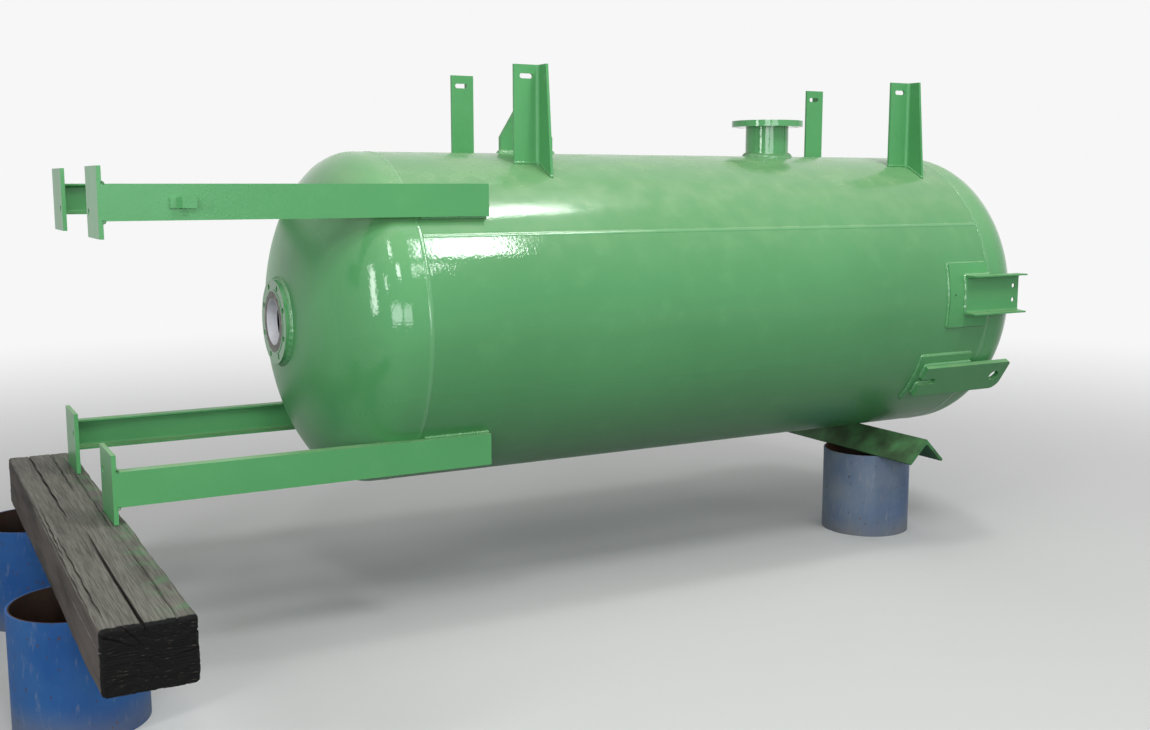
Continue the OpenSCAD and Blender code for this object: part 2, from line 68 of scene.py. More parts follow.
shell_low, shell_high = box("shell")
LEFT, RIGHT = float(shell_low[0]), float(shell_high[0])
MID_LENGTH = (LEFT + RIGHT) / 2
RADIUS = float(shell_high[2] - shell_low[2]) / 2
AXIS_Y, AXIS_Z = ((shell_low[1:] + shell_high[1:]) / 2).tolist()
print(f"shell from {LEFT:.3f} to {RIGHT:.3f} m, radius {RADIUS:.3f} m, axis at {AXIS_Z:.3f} m")

# %% [markdown]
# ## The camera
#
# A camera can be aimed by a constraint, or its matrix can be written straight from the three
# directions that it sees: right, up and forward. The matrix is exact, and it keeps the small roll.

# %% Set the camera
EYE = np.array([-2.20275, -3.787, 1.446])
FORWARD = np.array([0.4788, 0.8664, -0.1419])
SIDE = np.array([0.8752, -0.4837, 0.0])

lens = bpy.data.cameras.new("camera")
lens.sensor_fit = "HORIZONTAL"
lens.sensor_width = 36.0
lens.lens = 39.73
camera = bpy.data.objects.new("camera", lens)
forward = FORWARD / np.linalg.norm(FORWARD)
side = SIDE / np.linalg.norm(SIDE)
upward = np.cross(side, forward)
turn = np.eye(4)
turn[:3, 0], turn[:3, 1], turn[:3, 2], turn[:3, 3] = side, upward, -forward, EYE
camera.matrix_world = Matrix(turn.tolist())
bpy.context.scene.collection.objects.link(camera)
bpy.context.scene.camera = camera
bpy.context.scene.view_settings.view_transform = "Standard"
print("camera stands", round(float(EYE[2]), 3), "m above the floor")

# %% [markdown]
# ## Shader maths as plain sums
#
# A material is a graph of nodes, and a graph that is wired by hand is hard to read. The class below
# wraps one socket, so that `1 - mask * 0.3` adds its own Math nodes. Colours are mixed, never added,
# because a Math node turns a colour grey.

# %% A socket that can be written in sums
class Field:
    """One output of a material's graph. Operators add Math nodes, and node() adds every other kind."""

    def __init__(self, tree, socket):
        self.tree = tree
        self.socket = socket

    def node(self, kind, settings, inputs, out=0):
        """Adds a node, sets its settings first, then gives its sockets a value or a link."""
        made = self.tree.nodes.new("ShaderNode" + kind)
        for name, value in settings.items():
            setattr(made, name, value)
        for key, value in inputs.items():
            if isinstance(value, Field):
                self.tree.links.new(value.socket, made.inputs[key])
            else:
                made.inputs[key].default_value = value
        return Field(self.tree, made.outputs[out])

    def math(self, operation, *values):
        return self.node("Math", {"operation": operation}, dict(enumerate(values)))

    def __add__(self, other):
        return self.math("ADD", self, other)

    def __radd__(self, other):
        return self.math("ADD", other, self)

    def __sub__(self, other):
        return self.math("SUBTRACT", self, other)

    def __rsub__(self, other):
        return self.math("SUBTRACT", other, self)

    def __mul__(self, other):
        return self.math("MULTIPLY", self, other)

    def __rmul__(self, other):
        return self.math("MULTIPLY", other, self)

    def __pow__(self, other):
        return self.math("POWER", self, other)

    def size(self):
        return self.math("ABSOLUTE", self)

    def wave(self):
        return self.math("SINE", self)

    def at_least(self, other):
        return self.math("MAXIMUM", self, other)

    def ramp(self, low, high):
        """0 below low, 1 above high, and a smooth climb between them."""
        ends = {"Value": self, "From Min": low, "From Max": high}
        return self.node("MapRange", {"interpolation_type": "SMOOTHSTEP"}, ends)

    def blend(self, first, second):
        """Colour that goes from first to second as this value goes from 0 to 1."""
        return self.node("Mix", {"data_type": "RGBA"}, {0: self, 6: first, 7: second}, out=2)


def sketch(red, green, blue):
    """Screen colour from 0 to 255 turned into the linear colour that a shader wants."""
    c = np.array([red, green, blue]) / 255.0
    linear = np.where(c <= 0.04045, c / 12.92, ((c + 0.055) / 1.055) ** 2.4)
    return (*linear.tolist(), 1.0)


print("screen green", [round(v, 3) for v in sketch(104, 176, 106)])


# %% [markdown]
# ## One way to start every finish
#
# Each finish is one Principled shader. Values that are the same all over are set on its sockets.
# Values that change over the surface are linked. Patterns read Object coordinates: here they are
# metres in the frame, so a noise with scale 200 has grains of about 5 mm on every piece.

# %% Start a finish
class Finish:
    """A material with one Principled shader, its coordinates and a few patterns."""

    def __init__(self, name, **fixed):
        self.material = bpy.data.materials.new(name)
        self.material.use_nodes = True
        self.tree = self.material.node_tree
        self.shader = self.tree.nodes["Principled BSDF"]
        for key, value in fixed.items():
            self.shader.inputs[key.replace("_", " ")].default_value = value
        start = Field(self.tree, None)
        self.place = start.node("TexCoord", {}, {}, out="Object")
        parts = [self.place.node("SeparateXYZ", {}, {0: self.place}, out=axis) for axis in range(3)]
        self.x, self.y, self.z = parts
        self.facing = start.node("NewGeometry", {}, {}, out="Normal")
        self.up = self.place.node("SeparateXYZ", {}, {0: self.facing}, out=2)

    def stretched(self, x, y, z):
        """Coordinates with each axis multiplied, so that a pattern runs long along one of them."""
        return self.place.node("VectorMath", {"operation": "MULTIPLY"}, {0: self.place, 1: (x, y, z)})

    def noise(self, scale, detail=2.0, where=None, rough=0.5):
        inputs = {"Vector": where or self.place, "Scale": scale, "Detail": detail, "Roughness": rough}
        return self.place.node("TexNoise", {}, inputs)

    def cells(self, scale):
        return self.place.node("TexVoronoi", {"feature": "F1"}, {"Vector": self.place, "Scale": scale})

    def from_axis(self):
        """Distance from the vessel's axis, in metres."""
        across = self.y - AXIS_Y
        above = self.z - AXIS_Z
        return (across * across + above * above) ** 0.5

    def dent(self, height, distance, under=None):
        """Bump of that depth in metres, laid over another bump or the direction that `under` gives."""
        inputs = {"Height": height, "Distance": distance, "Strength": 1.0}
        if under is not None:
            inputs["Normal"] = under
        return self.place.node("Bump", {}, inputs)

    def feed(self, **links):
        for key, value in links.items():
            self.tree.links.new(value.socket, self.shader.inputs[key.replace("_", " ")])
        return self.material


print("finishes are ready to be mixed")

# %% [markdown]
# ## Gloss enamel
#
# The vessel is sprayed with light green enamel. Fresh enamel is smooth from far away, but near a lamp's
# reflection it shows three things: orange peel, which is a fine skin of bumps some millimetres wide,
# slow sags where the coat is thicker, and dust that settled while it was wet. A flat colour with low
# roughness would show none of them, so each has its own noise at its own scale.
#
# A clear coat over the colour seems the natural choice. But the shader's coat keeps a direction of its
# own, which the bumps don't reach, so every glint would come out straight. Here the gloss sits on the
# base layer, where the bumps bend it.
#
# The shell and the heads are single pieces, green outside and bare inside. Two materials on one piece
# would need its faces sorted. It is simpler to let the finish ask each point where it is, so the same
# function takes a test that is 1 on the bare side. A second test is 1 where the spray landed half dry:
# underneath and round the crowns of the heads the paint is dull and mirrors nothing sharply.

# %% Mix the enamel
GREEN = sketch(88, 161, 101)
GREEN_DEEP = sketch(78, 148, 91)
GREEN_PALE = sketch(106, 174, 112)
DUST = sketch(160, 180, 140)
BARE = sketch(46, 40, 36)
RUST = sketch(88, 56, 38)
# What dust, half-dry spray and bare plate add to the roughness of a clean coat
DUSTY, DRY, RAW = 0.3, 0.28, 0.5


def enamel(
    name,
    peel=120.0,
    peel_depth=0.0004,
    sag_depth=0.0008,
    runs=0.15,
    flat=0.05,
    gloss=0.45,
    shade=0.0,
    grime=0.0,
    dry=None,
    bare_side=None,
    normal=None,
):
    """Gloss enamel. peel is the grain of the orange peel per metre, the depths are in metres, runs is
    the share of drips in the sags, and flat is the roughness of a clean coat. shade darkens the green
    towards GREEN_DEEP all over, which is painted shade, and grime blends in dark bare steel, which is
    old dirt and also painted shade. dry(coat) is 1 where the spray landed half dry, bare_side(coat)
    is 1 where the plate is bare, and normal(coat, bare) gives the bumps a rounder surface to lie on."""
    coat = Finish(name, IOR=1.5, Specular_IOR_Level=gloss)
    cloud = coat.noise(1.7, 3.0)
    blotch = coat.noise(11.0, 3.0)
    nib = 1.0 - coat.cells(95.0).ramp(0.03, 0.09)
    settled = coat.up.ramp(0.1, 1.0) * (0.6 + blotch.ramp(0.3, 0.7) * 0.4)
    # shade moves the green towards GREEN_DEEP all over: on the shell this is painted shade.
    colour = (shade + cloud.ramp(0.3, 0.7) * 0.5).blend(GREEN, GREEN_DEEP)
    colour = (blotch.ramp(0.5, 0.85) * 0.2).blend(colour, GREEN_PALE)
    colour = (settled * 0.4).blend(colour, DUST)
    colour = (nib * 0.2).blend(colour, GREEN_DEEP)
    # grime darkens towards bare steel: old dirt, and on the angle under the shell also painted shade.
    if grime:
        colour = (blotch.ramp(0.15, 0.7) * grime).blend(colour, BARE)
    rough = flat + settled * settled * DUSTY
    if dry:
        rough = rough + dry(coat) * DRY
    under = None
    if bare_side:
        bare = bare_side(coat)
        under = normal(coat, bare) if normal else None
        colour = bare.blend(colour, blotch.ramp(0.35, 0.7).blend(BARE, RUST))
        rough = rough + bare * RAW
    drip = coat.noise(1.0, 2.0, coat.stretched(34.0, 34.0, 2.4))
    bump = coat.dent(coat.noise(9.0, 2.0) + drip * runs, sag_depth, under)
    bump = coat.dent((coat.noise(peel, 1.5) + nib * 0.6) * (1.0 - settled), peel_depth, bump)
    return coat.feed(Base_Color=colour, Roughness=rough, Normal=bump)


print("enamel is ready to be mixed")

# %% [markdown]
# Each test below turns a place on the vessel into a number from 0 to 1. The heads need one more thing.
# Their mesh is a stack of narrow cones, and the mirrored lamps would show each of them. The dish's true
# formula is known, so its slope gives the bumps a round surface to lie on, and no new mesh is needed.
#
# The legs and brackets wear a rougher and duller coat than the shell and heads, as on the real vessel,
# and the welds have the most gloss, so that their ripples catch the lamps as the real ones do. The
# shell's green is a shade deeper than that of the heads, which is painted shade, and the steel angle
# under the shell has dark grime, which is old dirt and painted shade from the shell above it.

# %% Where the plate is bare, dry or round
def underneath(coat):
    """1 where the surface faces the floor, and 0 where it faces sideways or up."""
    return (0.0 - coat.up).ramp(0.0, 0.5)


def inside_shell(coat):
    """1 nearer to the axis than the middle of the plate."""
    return 1.0 - coat.from_axis().ramp(RADIUS - 0.006, RADIUS - 0.003)


# Straight flange of a head, its depth past that, and the thickness of its plate
HEAD_STRAIGHT, HEAD_DEPTH, PLATE = 0.050, 0.271, 0.008


def past_straight(coat):
    """How far a point lies past the straight flange of its head, never less than 0."""
    along = (coat.x - MID_LENGTH).size() - ((RIGHT - LEFT) / 2 + HEAD_STRAIGHT)
    return along.at_least(0.0)


def inside_head(coat):
    """1 where (along / depth)^2 + (out / radius)^2 < 1, with both measured to the middle of the plate."""
    along = past_straight(coat) * (1.0 / (HEAD_DEPTH - PLATE / 2))
    out = coat.from_axis() * (1.0 / (RADIUS - PLATE / 2))
    return 1.0 - (along * along + out * out).ramp(0.997, 1.003)


def underneath_or_crown(coat):
    """1 also round the nozzle at a head's crown, with an edge that a slow noise moves."""
    crown = (past_straight(coat) + (coat.noise(6.0, 2.0) - 0.5) * 0.03).ramp(0.11, 0.23)
    return 1.0 - (1.0 - underneath(coat)) * (1.0 - crown)


def head_normal(coat, bare):
    """Slope of (along / depth)^2 + (out / radius)^2, which stands square on the dish. On the bare side it
    gives way to the direction that the mesh faces."""
    outward = (coat.x - MID_LENGTH).ramp(-0.001, 0.001) * 2.0 - 1.0
    slope = {
        0: past_straight(coat) * outward * (1.0 / HEAD_DEPTH**2),
        1: (coat.y - AXIS_Y) * (1.0 / RADIUS**2),
        2: (coat.z - AXIS_Z) * (1.0 / RADIUS**2),
    }
    slope = coat.place.node("CombineXYZ", {}, slope)
    square = slope.node("VectorMath", {"operation": "NORMALIZE"}, {0: slope})
    return bare.node("Mix", {"data_type": "VECTOR"}, {0: bare, 4: square, 5: coat.facing}, out=1)


plate_enamel = enamel("plate_enamel")
# The shell's deeper green (shade=0.6) is painted shade.
shell_enamel = enamel("shell_enamel", shade=0.6, dry=underneath, bare_side=inside_shell)
head_enamel = enamel("head_enamel", dry=underneath_or_crown, bare_side=inside_head, normal=head_normal)
section_enamel = enamel("section_enamel", sag_depth=0.0015, runs=0.3, flat=0.3, gloss=0.25)
# The angle's dark grime is old dirt and painted shade from the shell above it.
cradle_enamel = enamel("cradle_enamel", sag_depth=0.0015, runs=0.3, flat=0.45, gloss=0.2, grime=0.75)
bead_grain = {"peel": 220.0, "peel_depth": 0.0003, "sag_depth": 0.0006, "runs": 0.0}
bead_enamel = enamel("bead_enamel", flat=0.06, gloss=0.8, **bead_grain)
print("six coats of enamel mixed")

# %% [markdown]
# ## Bolted faces
#
# A gasket seals on bare steel, so the painter masks the middle of each end flange. The raised face is
# turned on a lathe, and its fine grooves run in circles: a sine of the distance from the axis draws
# them. The mask was cut by hand, so a noise moves its edge, and a little enamel has drifted over it.
# The bore has a thin white lining.

# %% Turned steel and the white lining
STEEL, STEEL_DARK = sketch(122, 120, 114), sketch(76, 72, 68)
# Distance from the middle of the tank to just under the raised face
FACE_FOOT = (RIGHT - LEFT) / 2 + 0.3322


def grooves(coat):
    """Sine of 2 pi times the distance from the axis over 1.2 mm, the width of a groove."""
    return (coat.from_axis() * 5200.0).wave()


flange = Finish("masked_flange", IOR=1.5, Specular_IOR_Level=0.45)
ragged = flange.from_axis() + (flange.noise(70.0, 3.0) - 0.5) * 0.01
proud = (flange.x - MID_LENGTH).size()
masked = (1.0 - ragged.ramp(0.1005, 0.1025)) * proud.ramp(FACE_FOOT, FACE_FOOT + 0.0004)
smear = flange.noise(60.0, 3.0)
drift = flange.noise(26.0, 3.0).ramp(0.55, 0.72) * 0.4
flange_steel = drift.blend(smear.ramp(0.35, 0.75).blend(STEEL, STEEL_DARK), GREEN_DEEP)
flange_green = (flange.noise(11.0, 3.0).ramp(0.45, 0.8) * 0.4).blend(GREEN, GREEN_DEEP)
masked_flange = flange.feed(
    Base_Color=masked.blend(flange_green, flange_steel),
    Metallic=masked * 0.7,
    Roughness=0.07 + masked * 0.37,
    Normal=flange.dent(grooves(flange) * masked, 0.0002, flange.dent(flange.noise(120.0, 1.5), 0.0004)),
)

steel = Finish("turned_steel", Metallic=0.7)
smear = steel.noise(60.0, 3.0)
turned_steel = steel.feed(
    Base_Color=smear.ramp(0.35, 0.75).blend(STEEL, STEEL_DARK),
    Roughness=0.38 + smear * 0.2,
    Normal=steel.dent(grooves(steel), 0.0002),
)

lining = Finish("white_lining", IOR=1.5)
grime = lining.noise(34.0, 3.0)
white_lining = lining.feed(
    Base_Color=grime.ramp(0.5, 0.8).blend(sketch(238, 238, 245), sketch(204, 202, 202)),
    Roughness=0.34 + grime * 0.2,
    Normal=lining.dent(grime, 0.0006),
)
print("nozzle finishes mixed")

# %% [markdown]
# The stands are lengths of old pipe in dull blue, scuffed and dusty. Their place along X chooses the
# blue: the pipe under the cradle is the most faded, and the pipes to its left get a darker, richer blue
# that is partly painted shade. Scuffs run along the pipe, so their noise is stretched along Z. Where a
# fine noise peaks, the paint is through to brown steel. Nobody painted the pipes inside, so the distance
# from each pipe's axis turns their bores to dark rust.

# %% Scuffed blue paint
def inside_pipes(coat):
    """1 on the bore of each stand, where (across^2 + beside^2)^0.5 is less than the mid-wall radius."""
    inside = 0.0
    for name in ("near_pipe_stand", "far_pipe_stand", "cradle_pipe_stand"):
        low, high = box(name)
        radius = float(high[0] - low[0]) / 2
        across = coat.x - float(low[0] + high[0]) / 2
        beside = coat.y - float(low[1] + high[1]) / 2
        out = (across * across + beside * beside) ** 0.5
        inside = 1.0 - out.ramp(radius - 0.007, radius - 0.005) + inside
    return inside


blue = Finish("stand_paint", IOR=1.45, Specular_IOR_Level=0.3)
cloud = blue.noise(5.0, 4.0)
scuff = blue.noise(1.0, 5.0, blue.stretched(60.0, 60.0, 16.0), 0.65)
chip = blue.noise(46.0, 5.0, rough=0.7)
# Along X the blue goes from the left pipes' darker, richer blue, which is partly painted shade, to the
# faded blue of the pipe under the cradle.
faded_vs_shaded = blue.x.ramp(0.0, 0.6)
blue_and_painted_shade = cloud.ramp(0.3, 0.7).blend(sketch(28, 78, 140), sketch(48, 94, 148))
faded_blue = cloud.ramp(0.3, 0.7).blend(sketch(96, 116, 146), sketch(126, 138, 152))
blue_colour = faded_vs_shaded.blend(blue_and_painted_shade, faded_blue)
blue_colour = (scuff.ramp(0.55, 0.72) * (0.25 + faded_vs_shaded * 0.4)).blend(blue_colour, sketch(150, 152, 154))
through = chip.ramp(0.64, 0.68)
blue_colour = through.blend(blue_colour, sketch(82, 60, 46))
near_floor = 1.0 - blue.z.ramp(0.0, 0.12)
blue_colour = (near_floor * cloud * 0.9).blend(blue_colour, sketch(120, 116, 108))
bore = inside_pipes(blue)
blue_colour = bore.blend(blue_colour, cloud.ramp(0.3, 0.7).blend(BARE, RUST))
stand_paint = blue.feed(
    Base_Color=blue_colour,
    Roughness=0.5 + scuff * 0.3 + bore * 0.2,
    Normal=blue.dent(scuff - through * 0.5, 0.0012),
)
print("stand paint mixed")

# %% [markdown]
# Old sleeper timber is nearly black with tar. Its grain runs along Y: growth rings are distances from
# the pith, bent by noise, and the same rings show as lines on the long faces and as circles on the
# sawn end. The end is the blackest, with pale flecks where the saw tore the fibres. The top is greyer
# and worn, and enamel has drifted onto the side towards the tank.

# %% Tarred timber
wood_low, wood_high = box("sleeper")
wood_left, wood_right, wood_end = float(wood_low[0]), float(wood_high[0]), float(wood_low[1])
timber = Finish("tarred_timber", IOR=1.4, Specular_IOR_Level=0.2)
across = timber.x - (wood_left + 0.06)
above = timber.z - (float(wood_low[2]) - 0.02)
warp = timber.noise(1.0, 3.0, timber.stretched(7.0, 1.6, 7.0))
pith = (across * across + above * above) ** 0.5 + warp * 0.035
ring = (pith * 620.0).wave()
fibre = timber.noise(1.0, 5.0, timber.stretched(260.0, 7.0, 260.0), 0.65)
tar = timber.noise(1.0, 4.0, timber.stretched(16.0, 2.2, 16.0))
wood_colour = fibre.ramp(0.35, 0.7).blend(sketch(22, 20, 20), sketch(54, 50, 47))
wood_colour = (ring.ramp(-0.2, 1.0) * 0.45).blend(wood_colour, sketch(20, 18, 17))
dusty = (1.0 - timber.x.ramp(wood_left + 0.004, wood_left + 0.03)) * tar.ramp(0.2, 0.7)
wood_colour = (dusty * 0.6).blend(wood_colour, sketch(112, 104, 98))
worn = timber.up.ramp(0.5, 0.95) * tar.ramp(0.1, 0.55)
grey_top = fibre.ramp(0.3, 0.7).blend(sketch(88, 86, 80), sketch(136, 134, 126))
wood_colour = (worn * 0.85).blend(wood_colour, grey_top)
sawn_end = 1.0 - timber.y.ramp(wood_end + 0.014, wood_end + 0.022)
fleck = timber.noise(1.0, 4.0, timber.stretched(40.0, 40.0, 300.0), 0.6).ramp(0.6, 0.75)
wood_colour = sawn_end.blend(wood_colour, (fleck * 0.7).blend(sketch(12, 12, 13), sketch(112, 102, 86)))
drift = timber.noise(18.0, 4.0).ramp(0.42, 0.75) * timber.x.ramp(wood_right - 0.11, wood_right)
wood_colour = (drift * (1.0 - sawn_end) * 0.4).blend(wood_colour, GREEN_DEEP)
tarred_timber = timber.feed(
    Base_Color=wood_colour,
    Roughness=0.62 + fibre * 0.25,
    Normal=timber.dent(fibre + ring * 0.12, 0.0022),
)
print("timber mixed")

# %% [markdown]
# ## Dressing the CAD pieces
#
# A CAD piece keeps its mesh and only swaps its material. A table from finish to pieces is easier to
# check than a long list of assignments, because every piece has to be in it once.

# %% Give every CAD piece its finish
DRESS = {
    shell_enamel: ["shell"],
    head_enamel: ["left_head", "right_head"],
    plate_enamel: ["top_nozzle_flange", "top_nozzle_neck"],
    masked_flange: ["left_nozzle_flange", "right_nozzle_flange"],
    turned_steel: ["left_nozzle_neck", "right_nozzle_neck"],
    white_lining: ["left_nozzle_liner", "right_nozzle_liner"],
    stand_paint: ["near_pipe_stand", "far_pipe_stand", "cradle_pipe_stand"],
    cradle_enamel: ["cradle_angle"],
    tarred_timber: ["sleeper"],
    bead_enamel: [name for name in NODES if "weld" in name],
}
dressed = {name for names in DRESS.values() for name in names}
DRESS[section_enamel] = sorted(set(NODES) - dressed)
for finish, names in DRESS.items():
    for name in names:
        mesh = NODES[name].data
        mesh.materials.clear()
        mesh.materials.append(finish)
        print(name, "wears", finish.name)

# %% [markdown]
# ## The stage
#
# The tank stands on a plain pale floor. Light Path tells what kind of ray has arrived, so the floor and
# the world can be pale to the camera and in reflections, and darker to bounced light, which would
# otherwise fill the shaded belly of the tank. Far from the tank the floor gives way to the same white
# as the world, so no horizon cuts across the picture.

# %% Make the floor and the world
def grey(level):
    return (level, level, level, 1.0)


WHITE, NIGHT = grey(0.93), grey(0.0)
FLOOR_SEEN, FLOOR_LIT = grey(0.62), grey(0.07)
SKY_LIT = (0.15, 0.155, 0.16, 1.0)
FLOOR_HALF = 60.0
# The floor turns white between these distances from the middle of the tank
FADE_FROM, FADE_TO = 1.0, 9.0


def pale(tree, lit, seen):
    """Colour that is `seen` to the camera and in reflections, and `lit` to every other ray."""
    path = tree.nodes.new("ShaderNodeLightPath")
    shown = Field(tree, path.outputs["Is Camera Ray"])
    for name in ("Is Glossy Ray", "Is Transmission Ray"):
        shown = shown.at_least(Field(tree, path.outputs[name]))
    return shown.blend(lit, seen)


world = bpy.data.worlds.new("studio")
bpy.context.scene.world = world
world.use_nodes = True
backdrop = world.node_tree.nodes["Background"]
sky = pale(world.node_tree, SKY_LIT, WHITE)
world.node_tree.links.new(sky.socket, backdrop.inputs["Color"])

ground = Finish("floor_finish", Roughness=1.0, Specular_IOR_Level=0.0, Emission_Strength=1.0)
far = ((ground.x * ground.x + ground.y * ground.y) ** 0.5).ramp(FADE_FROM, FADE_TO)
floor_finish = ground.feed(
    Base_Color=far.blend(pale(ground.tree, FLOOR_LIT, FLOOR_SEEN), NIGHT),
    Emission_Color=far.blend(NIGHT, pale(ground.tree, FLOOR_LIT, WHITE)),
)
floor_mesh = bpy.data.meshes.new("floor")
floor_corners = [(x * FLOOR_HALF, y * FLOOR_HALF, 0.0) for x, y in ((-1, -1), (1, -1), (1, 1), (-1, 1))]
floor_mesh.from_pydata(floor_corners, [], [(0, 1, 2, 3)])
floor_mesh.materials.append(floor_finish)
floor = bpy.data.objects.new("floor", floor_mesh)
bpy.context.scene.collection.objects.link(floor)
print("floor and world are pale")

# %% [markdown]
# A gloss coat is only as good as what it reflects. The roof lamp is wide and dim, so its edge never
# shows, and three dim fill lamps keep the back, the right end and the right front from going dark. The
# others stand for windows. Each was placed by mirroring the camera's line of sight in the surface where
# its glint should fall, so a lamp needs its place, its target and the direction of its width.

# %% Hang the lamps
WARM, COOL = (1.0, 0.98, 0.91), (0.95, 0.98, 1.0)


def lamp(name, place, target, wide, width, height, power, tint=(1.0, 1.0, 1.0), mirrored=True):
    """Rectangular lamp that faces a point: its third axis points away from it, and its first is `wide`
    less the part of it that lies along the third. A fill lamp isn't mirrored in the gloss."""
    light = bpy.data.lights.new(name, "AREA")
    light.shape = "RECTANGLE"
    light.size, light.size_y = width, height
    light.energy, light.color = power, tint
    thing = bpy.data.objects.new(name, light)
    thing.visible_glossy = mirrored
    back = np.array(place, float) - np.array(target, float)
    back /= np.linalg.norm(back)
    across = np.array(wide, float) - np.dot(wide, back) * back
    across /= np.linalg.norm(across)
    turn = np.eye(4)
    turn[:3, 0], turn[:3, 1], turn[:3, 2], turn[:3, 3] = across, np.cross(back, across), back, place
    thing.matrix_world = Matrix(turn.tolist())
    bpy.context.scene.collection.objects.link(thing)
    print(name, power, "W")


lamp("roof_light", (0.3, -0.9, 6.6), (0.3, 0.2, 1.0), (1, 0, 0), 5.5, 3.6, 78.0, WARM)
lamp("back_fill", (1.8, 7.2, 3.2), (0.2, 0.3, 1.0), (-1, 0, 0), 6.0, 3.0, 130.0, mirrored=False)
lamp("end_fill", (7.6, 0.6, 2.6), (0.2, 0.3, 1.0), (0, 1, 0), 4.0, 2.4, 75.0, mirrored=False)
lamp("right_fill", (4.0, -5.0, 2.6), (1.2, -0.2, 1.2), (1, 0, 0), 3.0, 2.0, 45.0, mirrored=False)
lamp("long_window", (1.25, -2.66, 4.46), (-0.58, -0.16, 1.25), (0.98, 0.14, -0.16), 0.57, 1.05, 64.0)
lamp("high_window", (1.54, -0.79, 5.34), (-0.42, -0.08, 1.36), (0.83, 0.54, -0.11), 0.72, 0.55, 42.0)
lamp("left_window", (-4.8, -1.66, 2.3), (-0.89, -0.15, 1.13), (0.41, -0.87, 0.27), 0.6, 1.9, 54.0)
lamp("small_pane_1", (-2.48, -2.66, 4.54), (-0.83, -0.14, 1.25), (0.92, -0.36, 0.14), 0.45, 0.9, 22.0)
lamp("small_pane_2", (-1.81, -3.70, 3.72), (-0.82, -0.18, 1.18), (0.98, -0.20, 0.04), 0.6, 0.7, 22.0)
lamp("small_pane_3", (-3.81, -3.03, 2.92), (-0.85, -0.17, 1.15), (0.75, -0.65, 0.17), 0.4, 0.7, 13.0)
lamp("small_pane_4", (0.92, -3.54, 3.66), (-0.75, -0.18, 1.19), (0.95, -0.02, -0.32), 0.05, 0.6, 4.5)
lamp("front_pane_1", (-4.05, -6.65, 1.83), (-0.82, -0.21, 1.05), (0.97, -0.24, 0.04), 2.8, 1.6, 112.0, COOL)
lamp("front_pane_2", (-0.87, -7.43, 1.83), (-0.82, -0.21, 1.05), (0.97, -0.24, 0.04), 2.8, 1.6, 88.0, COOL)

# %% [markdown]
# ## Surfaces worked out as arrays
#
# A weld bead is a small profile carried along a path. Curves with a bevel could make it, but their
# profile can't ripple. Here the path, the two directions of the profile and the profile itself are
# arrays, and one sum gives every point. The mesh is closed, and its signed volume tells whether the
# faces point outwards: if it is negative, they are turned.

# %% Carry a profile along a path
def sweep(name, path, side, up, a, b, closed):
    """Enamelled bead with point (i, j) = path[i] + a[i, j] * side[i] + b[i, j] * up[i], where j runs
    round the profile."""
    points = path[:, None, :] + a[..., None] * side[:, None, :] + b[..., None] * up[:, None, :]
    return lay_mesh(name, points, closed, bead_enamel)


def lay_mesh(name, points, closed, finish):
    """Mesh from points[i, j]: j always closes on itself, and i closes too or ends in two caps."""
    rows, columns = points.shape[:2]
    number = np.arange(rows * columns).reshape(rows, columns)
    if closed:
        number = np.vstack([number, number[:1]])
    number = np.hstack([number, number[:, :1]])
    corners = [number[:-1, :-1], number[1:, :-1], number[1:, 1:], number[:-1, 1:]]
    quads = np.stack(corners, -1).reshape(-1, 4)
    flat = points.reshape(-1, 3)
    first, second, third, fourth = (flat[quads[:, k]] for k in range(4))
    volume = np.einsum("ij,ij->", first, np.cross(second, third) + np.cross(third, fourth)) / 6
    ends = [] if closed else [number[0, :-1][::-1], number[-1, :-1]]
    for end in ends:
        fan = flat[end]
        volume -= np.einsum("ij,ij->", fan, np.cross(np.roll(fan, -1, 0), fan.mean(0))) / 6
    if volume < 0:
        quads = quads[:, ::-1]
        ends = [end[::-1] for end in ends]
    mesh = bpy.data.meshes.new(name)
    mesh.from_pydata(flat.tolist(), [], quads.tolist() + [end.tolist() for end in ends])
    mesh.polygons.foreach_set("use_smooth", np.ones(len(mesh.polygons), bool))
    mesh.materials.append(finish)
    thing = bpy.data.objects.new(name, mesh)
    bpy.context.scene.collection.objects.link(thing)
    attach(thing, "root")
    print(name, "has", len(quads), "faces, volume", round(abs(volume) * 1e6, 1), "cm3")
    return thing


# %% [markdown]
# ## Butt welds
#
# A machine laid the long seam and the two girth seams: a low wide cap with fine crescent ripples.
# Seen from far away each ripple catches a window for a moment, which makes the dashed glints along the
# seam. The cap's height is a rounded hill across the seam, and the ripple is a wave of the distance
# along it, bent backwards towards the edges.

# %% Shape a butt weld's cap
# Distance between ripples, height of the cap, and how deep its edge and its underside lie in the plate
CAP_PITCH, CAP_HEIGHT, CAP_EDGE, CAP_ROOT = 0.0095, 0.0014, 0.0002, 0.0012
CAP_STEPS, CAP_COLUMNS = 5, 11


def unsteady(along, length, counts, seed):
    """Sum of sines along a bead, one for each count of waves, with a random height and start each. It
    stands for the speed of the torch."""
    random = np.random.default_rng(seed)
    wander = 0.0
    for waves in counts:
        height, start = random.normal(0.0, 0.05), random.uniform(0, 6.3)
        wander = wander + height * np.sin(2 * pi * waves * along / length + start)
    return wander


